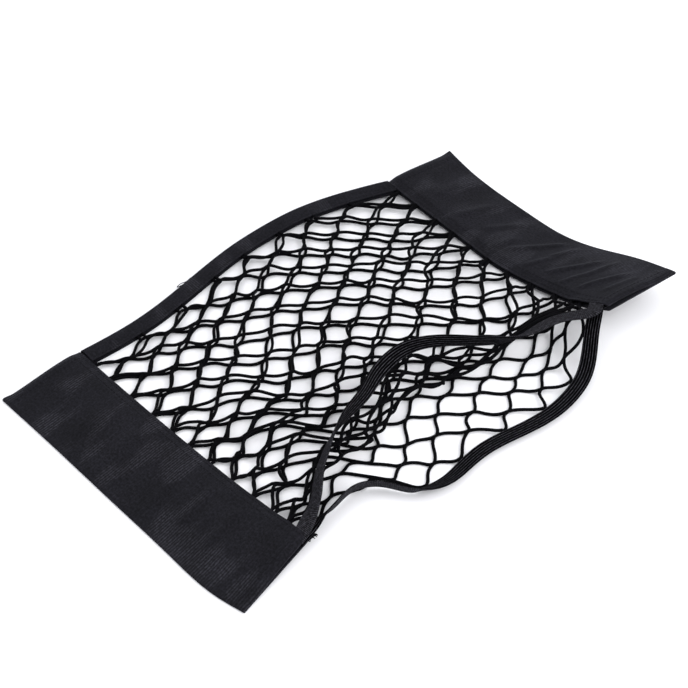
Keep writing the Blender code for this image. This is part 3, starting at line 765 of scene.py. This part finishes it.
def ribbedSection(ribsUp):
    # Round cords on one face, shallow ones on the other, and rounded edges.
    half, thick = elasticShape["width"] / 2, elasticShape["thick"] / 2
    side = 1.0 if ribsUp else -1.0
    section, marks = [], []
    parts = np.linspace(0.0, 1.0, elasticShape["ribs"] * elasticShape["stepsPerRib"] + 1)
    for face, depth, order, mark in ((side, elasticShape["ribDepth"], 1, 0.0),
                                     (-side, elasticShape["plainDepth"], -1, elasticLook["plainMark"])):
        for part in parts[::order]:
            across = blend(-half, half, part)
            groove = abs(math.sin(math.pi * part * elasticShape["ribs"])) ** elasticShape["ribRound"]
            edge = math.sqrt(max(1 - (abs(across) / half) ** elasticShape["edgeRound"], 0.0))
            height = face * ((thick - depth) + depth * groove) * blend(elasticShape["edgeThin"], 1.0, edge)
            section.append((across, height))
            marks.append(across + mark)
    section.append(section[0])
    marks.append(marks[-1] + 1.0)
    return section, np.array(marks)


def buildElastic(name, node, table, stack, ribsUp):
    shares = np.linspace(0.0, 1.0, elasticShape["stations"])
    centre, free, face = elasticFrame(table, shares)
    tucks = []
    for end, band, bandShares in ((0, leftBand, leftShares), (-1, rightBand, rightShares)):
        inside = tapeSpot(band, bandShares[2], elasticShape["tuck"], stack)
        inside = inside + free[end] * (elasticShape["width"] / 2 + elasticShape["edgeGap"])
        path = [blend(inside, centre[end], part) for part in elasticShape["tuckParts"]]
        tucks.append(np.array(path if end == 0 else path[::-1]))
    centre = np.concatenate([tucks[0], centre, tucks[1]])
    added = len(elasticShape["tuckParts"])
    free, face = (np.pad(way, ((added, added), (0, 0)), mode="edge") for way in (free, face))
    section, marks = ribbedSection(ribsUp)
    places = np.stack([centre + free * across + face * height for across, height in section], axis=1)
    run = runAlong(centre)
    item = gridMesh(name, places, run, marks, elasticCloth)
    weld(item, weldDistance["elastics"])
    bpy.ops.object.mode_set(mode="EDIT")
    bpy.ops.mesh.select_all(action="DESELECT")
    bpy.ops.mesh.select_non_manifold()
    bpy.ops.mesh.fill_holes(sides=0)
    bpy.ops.object.mode_set(mode="OBJECT")
    faceOutwards(item)
    bpy.ops.object.shade_smooth_by_angle(angle=math.radians(60))
    placeOn(item, node)
    print(name, "dressed,", round(run[-1]), "mm long")


elasticStack = seam["ply"] + seam["gap"] + elasticShape["solidThick"] / 2
lowerLine = elasticLine(lowerElasticRows, elasticStack)
upperLine = elasticLine(upperElasticRows, elasticStack + elasticShape["solidThick"] + seam["gap"])
buildElastic("elasticLower", "elastic_lower", lowerLine, elasticShape["tuckStacks"][0], ribsUp=True)
buildElastic("elasticUpper", "elastic_upper", upperLine, elasticShape["tuckStacks"][1], ribsUp=False)


# Nets. A fine grid of places on each draped layer carries the cords of its mesh.

drape = {
    "acrossCuts": 120, "deepCuts": 180, "flatSteps": 40, "turnSteps": 60,
    "liftAt": 0.75,         # how far sideways a run has gone where it turns, as a share
    "settledAt": 0.16,      # by when the lower layer has come down from the binding, as a share
    "billow": 2.4, "billowWaves": 1.5, "billowStart": 0.1,
    "forwards": 2.0,        # how strongly the turn heads for the front
    "turnRoom": 6.0,        # how far before its own turn a layer stops keeping to the rows below
    "soften": 12,           # grid steps to each side
    "floorClear": 0.15, "edgeCord": 3.0, "flatDepth": 240.0, "sideHold": 2.4, "solidDiamonds": 7,
}


def profiles(table, turn, stack, liesFlat, across):
    # For each place across, points on the run from the binding's mouth to the elastic: flat or
    # billowing at first, then one curve that turns.
    mouth = tapePoint(binding, across, np.full_like(across, -seam["lip"]), np.full_like(across, stack))
    xs = table(fineShares)[:, 0]
    share = np.interp(blend(xs[0], xs[-1], across), xs, fineShares)
    centre, free, _ = elasticFrame(table, share)
    _, out, up = directions(table, share)
    lead = heldAtEnds(table, share, turned(out, up, turn(centre[:, 0])[:, 0]))
    corner = seam["netThick"] / 2 * np.linalg.norm(np.cross(free, lead), axis=-1)
    arm = elasticShape["width"] / 2 + elasticShape["edgeGap"] + corner
    edge = centre - free * arm[:, None]
    edgeTurn = turn(edge[:, 0])
    start, runZ, reach, back = (edgeTurn[:, column] for column in (1, 2, 3, 4))
    lift = np.stack([blend(mouth[:, 0], edge[:, 0], drape["liftAt"]), edge[:, 1] + start, runZ], axis=1)
    wave = 0.5 + 0.5 * np.sin(2 * math.pi * (drape["billowWaves"] * across + drape["billowStart"]))
    points = []
    for step in np.linspace(0.0, 1.0, drape["flatSteps"] + 1)[:-1]:
        point = blend(mouth, lift, step)
        if liesFlat:
            point[:, 2] = blend(mouth[:, 2], runZ, ease(step / drape["settledAt"]))
        else:
            point[:, 2] = blend(mouth[:, 2], runZ, ease(step)) \
                + drape["billow"] * wave * math.sin(math.pi * step)
        points.append(point)
    onward = edge - mouth
    onward[:, 2] = 0.0
    onward = unit(unit(onward) + np.array([0.0, -drape["forwards"], 0.0]))
    ways = (lift, lift + onward * reach[:, None], edge - lead * back[:, None], edge)
    for step in np.linspace(0.0, 1.0, drape["turnSteps"] + 1):
        rest = 1 - step
        weights = (rest ** 3, 3 * rest ** 2 * step, 3 * rest * step ** 2, step ** 3)
        points.append(sum(weight * way for weight, way in zip(weights, ways)))
    points = np.array(points).transpose(1, 0, 2)
    low = seam["netThick"] / 2 + drape["floorClear"]
    points[..., 2] = np.maximum(points[..., 2], low)
    return points


def drapedGrid(table, turn, stack, liesFlat, below=None):
    # Places over (across, deep), both from 0 to 1, with deep 1 at the elastic. A layer that lies
    # on the one below keeps to its rows up to its own turn, and the cuff takes the rest.
    across = np.linspace(0.0, 1.0, drape["acrossCuts"] + 1)
    deep = np.linspace(0.0, 1.0, drape["deepCuts"] + 1)
    points = profiles(table, turn, stack, liesFlat, across)
    grid = np.zeros((len(across), len(deep), 3))
    window = 2 * drape["soften"] + 1
    for index, line in enumerate(points):
        run = runAlong(line)
        spots = deep * run[-1]
        if below is not None:
            front = int(np.argmin(line[:, 1]))
            ahead = below[index, :, 1] > line[front, 1] + drape["turnRoom"]
            last = int(np.argmin(ahead)) - 1
            if 0 < last < len(deep) - drape["soften"]:
                kept = np.interp(-below[index, :last, 1], -line[:front, 1], run[:front])
                cuff = np.linspace(kept[-1], run[-1], len(deep) - last + 1)[1:]
                spots = np.concatenate([kept, cuff])
                spots = np.pad(spots, drape["soften"], mode="reflect", reflect_type="odd")
                spots = np.convolve(spots, np.ones(window) / window, mode="valid")
                spots = np.clip(spots, 0.0, run[-1])
        grid[index] = pointsAt(spots, run, line)
    whole = 1 - drape["edgeCord"] / drape["flatDepth"]
    loose = {0: grid[0].copy(), 1: grid[-1].copy()}
    for side, band, shares in ((0, leftBand, leftShares), (1, rightBand, rightShares)):
        share = np.interp(deep, (0.0, whole, 1.0), shares)
        held = tapePoint(band, share, np.full_like(share, -seam["lip"]), np.full_like(share, stack))
        drift = held - loose[side]
        fromSide = across if side == 0 else 1 - across
        near = 1 - fromSide
        nearZ = 1 - ease(fromSide * 2 * drape["solidDiamonds"] / drape["sideHold"])
        weight = np.stack([near, near, nearZ], axis=1)
        grid = grid + drift[None, :, :] * weight[:, None, :]
    return grid


def onGrid(grid, across, deep):
    # Bilinear reading of the grid, and past its edges straight on.
    i = across * drape["acrossCuts"]
    j = deep * drape["deepCuts"]
    i0 = np.clip(np.floor(i), 0, drape["acrossCuts"] - 1).astype(int)
    j0 = np.clip(np.floor(j), 0, drape["deepCuts"] - 1).astype(int)
    a, b = (i - i0)[:, None], (j - j0)[:, None]
    return (grid[i0, j0] * (1 - a) * (1 - b) + grid[i0 + 1, j0] * a * (1 - b)
            + grid[i0, j0 + 1] * (1 - a) * b + grid[i0 + 1, j0 + 1] * a * b)


def normalsOf(grid):
    along = np.gradient(grid, axis=0)
    down = np.gradient(grid, axis=1)
    return unit(np.cross(down, along))


# The cords. Shifts, spots and rows of the mesh are counted in joins, two to a diamond each way.
netShape = {
    "radius": 1.20, "diamondsAcross": 8, "diamondsDeep": 10.5, "stepsPerSide": 13, "tuck": 4.5,
    "width": 257.0, "depth": 250.0, "offFloor": 0.06, "smoothing": 2, "slack": 0.64,
    "overlap": 0.45, "edgeOverlap": 0.35, "seed": 1373,
    "drift": 0.18, "driftWaves": 4, "driftBends": (0.25, 0.75), "driftTurns": (0.0, 6.28),
    "rowTilt": 0.4, "tiltRows": 5, "columnTilt": 0.25, "sideRun": 1.8, "frontCrowd": 6,
    "cornerGather": 0.2, "cornerSpot": (3, 4), "cuffRows": 4,
    "slip": 1.06, "slipFrom": 3.0, "slipWay": (0.69, 0.724), "turnRows": 6, "turnFade": 3,
}


def driftField(seed, amount):
    # A slow uneven shift of the joins, so that a layer is looser here and gathered there.
    rand = random.Random(seed)
    bends, turns = netShape["driftBends"], netShape["driftTurns"]
    waves = [(rand.uniform(*bends), rand.choice((-1, 1)) * rand.uniform(*bends),
              rand.uniform(*turns), rand.uniform(*turns)) for _ in range(netShape["driftWaves"])]

    def at(i, j):
        return np.array([amount / 2 * sum(math.sin(a * i + b * j + phases[side])
                                          for a, b, *phases in waves) for side in (0, 1)])

    return at


def meshLie(i, j, wide, deep):
    # How far a join lies from its even place. The rows slant towards the front near the right
    # band, and near both bands they keep their spacing and crowd only at the front. The columns
    # slant to the right as they run back, and the joins crowd in the corner between the left
    # band and the binding.
    middle = 4 * i / wide * (1 - i / wide)
    column = netShape["columnTilt"] * (1 - 2 * j / deep) * middle
    inRows = ease(j / netShape["tiltRows"]) * ease((deep - j) / netShape["tiltRows"])
    row = netShape["rowTilt"] * float(ease(2 * i / wide - 1) * inRows)
    run = netShape["sideRun"] * (1 - middle) * (j / deep) * (1 - (j / deep) ** netShape["frontCrowd"])
    cornerI, cornerJ = netShape["cornerSpot"]
    inCorner = math.exp(-(i / cornerI) ** 2) * j / cornerJ * math.exp(1 - j / cornerJ)
    return np.array([column, row + run - netShape["cornerGather"] * inCorner])


def followBelow(grid, below, i, j, wide, deep):
    # Brings a join of the upper layer over the lower layer's own, up to where the layer turns
    # back. The higher the layer lies, the more it has slipped forwards and to the left.
    if below is None:
        return np.zeros(2)
    spot = np.array([i / wide]), np.array([j / deep])
    apart = (onGrid(grid, *spot) - onGrid(below, *spot))[0]
    slipped = netShape["slip"] * max(apart[2] - netShape["slipFrom"], 0.0)
    gone = apart[:2] + slipped * np.array(netShape["slipWay"])
    kept = float(1 - ease((j - deep + netShape["turnRows"]) / netShape["turnFade"]))
    return kept * gone / np.array([-netShape["width"] / wide, netShape["depth"] / deep])


def netCords(grid, stack, values, seed, below):
    # Two families of cords that meet at the joins, each waving between its joins.
    rand = random.Random(seed)
    wide, deep = int(2 * netShape["diamondsAcross"]), int(2 * netShape["diamondsDeep"])
    shared = driftField(netShape["seed"], netShape["drift"])    # both layers were pulled alike
    own = driftField(seed, values["drift"])
    shift = {}
    for i in range(-1, wide + 2):
        for j in range(-1, deep + 2):
            inX, inY = (min(max(min(at, end - at), 0) / 2, 1.0) for at, end in ((i, wide), (j, deep)))
            slow = shared(i, j) + own(i, j) + values["offset"] + meshLie(i, j, wide, deep)
            slow = slow + followBelow(grid, below, i, j, wide, deep)
            inCuff = math.exp(-((deep - j) / netShape["cuffRows"]) ** 2)
            rough = values["jitter"] * (1 + values["cuffJitter"] * inCuff)
            shift[i, j] = np.array([inX * (slow[0] + rand.uniform(-rough, rough)),
                                    inY * (slow[1] + rand.uniform(-rough, rough)),
                                    min(inX, inY) * rand.uniform(0.0, values["lift"])])
    normals = normalsOf(grid)
    paths = []
    for sign in (1, -1):
        for k in range(-deep - wide, deep + wide + 1):
            joins = [(i, sign * (i - 2 * k)) for i in range(wide + 1)
                     if 0 <= sign * (i - 2 * k) <= deep]
            if len(joins) < 2:
                continue
            spots, lifts = [], []
            for (i0, j0), (i1, j1) in zip(joins, joins[1:]):
                parts = np.linspace(0.0, 1.0, netShape["stepsPerSide"] + 1)[:-1]
                slack = netShape["slack"] * rand.uniform(*values["slackRange"])
                bow = rand.uniform(-values["bow"], values["bow"])
                bowDeep = rand.uniform(-values["bow"], values["bow"])
                push = blend(shift[i0, j0], shift[i1, j1], ease(parts)[:, None])
                s = i0 + parts + push[:, 0] + bow * np.sin(math.pi * parts) ** 2
                t = blend(j0, j1, parts) - sign * slack * np.sin(2 * math.pi * parts) / (2 * math.pi)
                t = t + push[:, 1] + bowDeep * np.sin(math.pi * parts) ** 2
                spots += list(zip(s, t))
                over = sign * netShape["overlap"] * np.cos(math.pi * parts) ** 2
                lifts += list(over + push[:, 2] + values["lift"] * abs(bow) * np.sin(math.pi * parts))
            i, j = joins[-1]
            spots.append((i + shift[i, j][0], j + shift[i, j][1]))
            lifts.append(sign * netShape["overlap"] + shift[i, j][2])
            spots = np.array(spots)
            across = np.clip(spots[:, 0] / wide, 0.0, 1.0)
            down = np.clip(spots[:, 1] / deep, 0.0, 1.0)
            edge = ease(np.minimum(across, 1 - across) * wide / 2)
            out = np.array(lifts) * blend(netShape["edgeOverlap"], 1.0, edge)
            path = onGrid(grid, across, down) + onGrid(normals, across, down) * out[:, None]
            for _ in range(netShape["smoothing"]):
                path[1:-1] = path[:-2] / 4 + path[1:-1] / 2 + path[2:] / 4
            path = np.concatenate([tuckIn(across[0], down[0], path[0], stack)[::-1], path,
                                   tuckIn(across[-1], down[-1], path[-1], stack)])
            path[:, 2] = np.maximum(path[:, 2], netShape["radius"] + netShape["offFloor"])
            paths.append(path)
    return paths


def tuckIn(across, down, place, stack):
    # Carries a cord's end on into the seam that holds it.
    if across in (0.0, 1.0) and down > 0.0:
        band, shares = (leftBand, leftShares) if across == 0.0 else (rightBand, rightShares)
        inside = tapeSpot(band, blend(shares[0], shares[1], down), netShape["tuck"], stack)
    elif down == 0.0:
        inside = tapeSpot(binding, across, netShape["tuck"], stack)
    else:
        return np.zeros((0, 3))
    return np.array([blend(place, inside, part) for part in (0.5, 1.0)])


def buildNet(name, node, table, turn, stack, liesFlat, values, seed, below=None):
    grid = drapedGrid(table, turn, stack, liesFlat, below)
    paths = netCords(grid, stack, values, seed, below)
    item = cordMesh(name, paths, netShape["radius"], netCord)
    placeOn(item, node)
    print(name, "dressed,", len(paths), "cords,", len(item.data.polygons), "faces")
    return item, grid


lowerNetValues = {
    "jitter": 0.11, "drift": 0.05, "offset": (0.0, 0.0), "cuffJitter": 0.0, "lift": 0.4,
    "slackRange": (0.8, 1.5), "bow": 0.12,
}
upperNetValues = {
    "jitter": 0.15, "drift": 0.12, "offset": (0.15, -0.20), "cuffJitter": 1.2, "lift": 0.8,
    "slackRange": (0.6, 1.7), "bow": 0.17,
}

lowerNet, lowerGrid = buildNet("netLower", "net_lower", lowerLine, lowerTurn, netStacks[0], True,
                               lowerNetValues, seed=11)
upperNet, _ = buildNet("netUpper", "net_upper", upperLine, upperTurn, netStacks[1], False,
                       upperNetValues, seed=23, below=lowerGrid)


# Floor, light and camera.

studio = {
    "floorSize": 6.0, "floorColour": (0.90, 0.90, 0.92), "floorRoughness": 0.7, "floorSpecular": 0.2,
    "keyPower": 8.0, "keySize": 1.4, "keyPlace": (-0.75, 1.15, 1.9),
    "fillPower": 27.0, "fillSize": 1.8, "fillPlace": (0.35, -1.45, 1.0),
    "skyColour": (0.97, 0.975, 1.0), "skyStrength": 1.12,
}
view = {
    "place": (-0.5856, -0.6048, 0.7982), "target": (0.0006, 0.0107, 0.0),
    "lens": 83.72, "sensor": 36.0,      # these two in millimetres, as the camera has them
}

clearSelection()
bpy.ops.mesh.primitive_plane_add(size=studio["floorSize"], location=(0, 0, 0))
floor = bpy.context.object
floor.name = "floor"
floorPaint = bpy.data.materials.new("pale floor")
floorPaint.use_nodes = True
floorShader = floorPaint.node_tree.nodes["Principled BSDF"]
floorShader.inputs["Base Color"].default_value = (*studio["floorColour"], 1.0)
floorShader.inputs["Roughness"].default_value = studio["floorRoughness"]
floorShader.inputs["Specular IOR Level"].default_value = studio["floorSpecular"]
floor.data.materials.append(floorPaint)


def softBox(name, place, size, power):
    bpy.ops.object.light_add(type="AREA", location=place)
    lamp = bpy.context.object
    lamp.name = name
    lamp.data.energy = power
    lamp.data.size = size
    lamp.rotation_euler = (-Vector(place)).to_track_quat("-Z", "Y").to_euler()


softBox("key light", studio["keyPlace"], studio["keySize"], studio["keyPower"])
softBox("fill light", studio["fillPlace"], studio["fillSize"], studio["fillPower"])
sky = bpy.data.worlds.new("studio")
bpy.context.scene.world = sky
sky.use_nodes = True
sky.node_tree.nodes["Background"].inputs["Color"].default_value = (*studio["skyColour"], 1.0)
sky.node_tree.nodes["Background"].inputs["Strength"].default_value = studio["skyStrength"]
bpy.context.scene.view_settings.view_transform = "Standard"

bpy.ops.object.camera_add(location=view["place"])
camera = bpy.context.object
camera.data.lens = view["lens"]
camera.data.sensor_width = view["sensor"]
looksAlong = Vector(view["target"]) - Vector(view["place"])
camera.rotation_euler = looksAlong.to_track_quat("-Z", "Y").to_euler()
bpy.context.scene.camera = camera
print("floor, light and camera set")
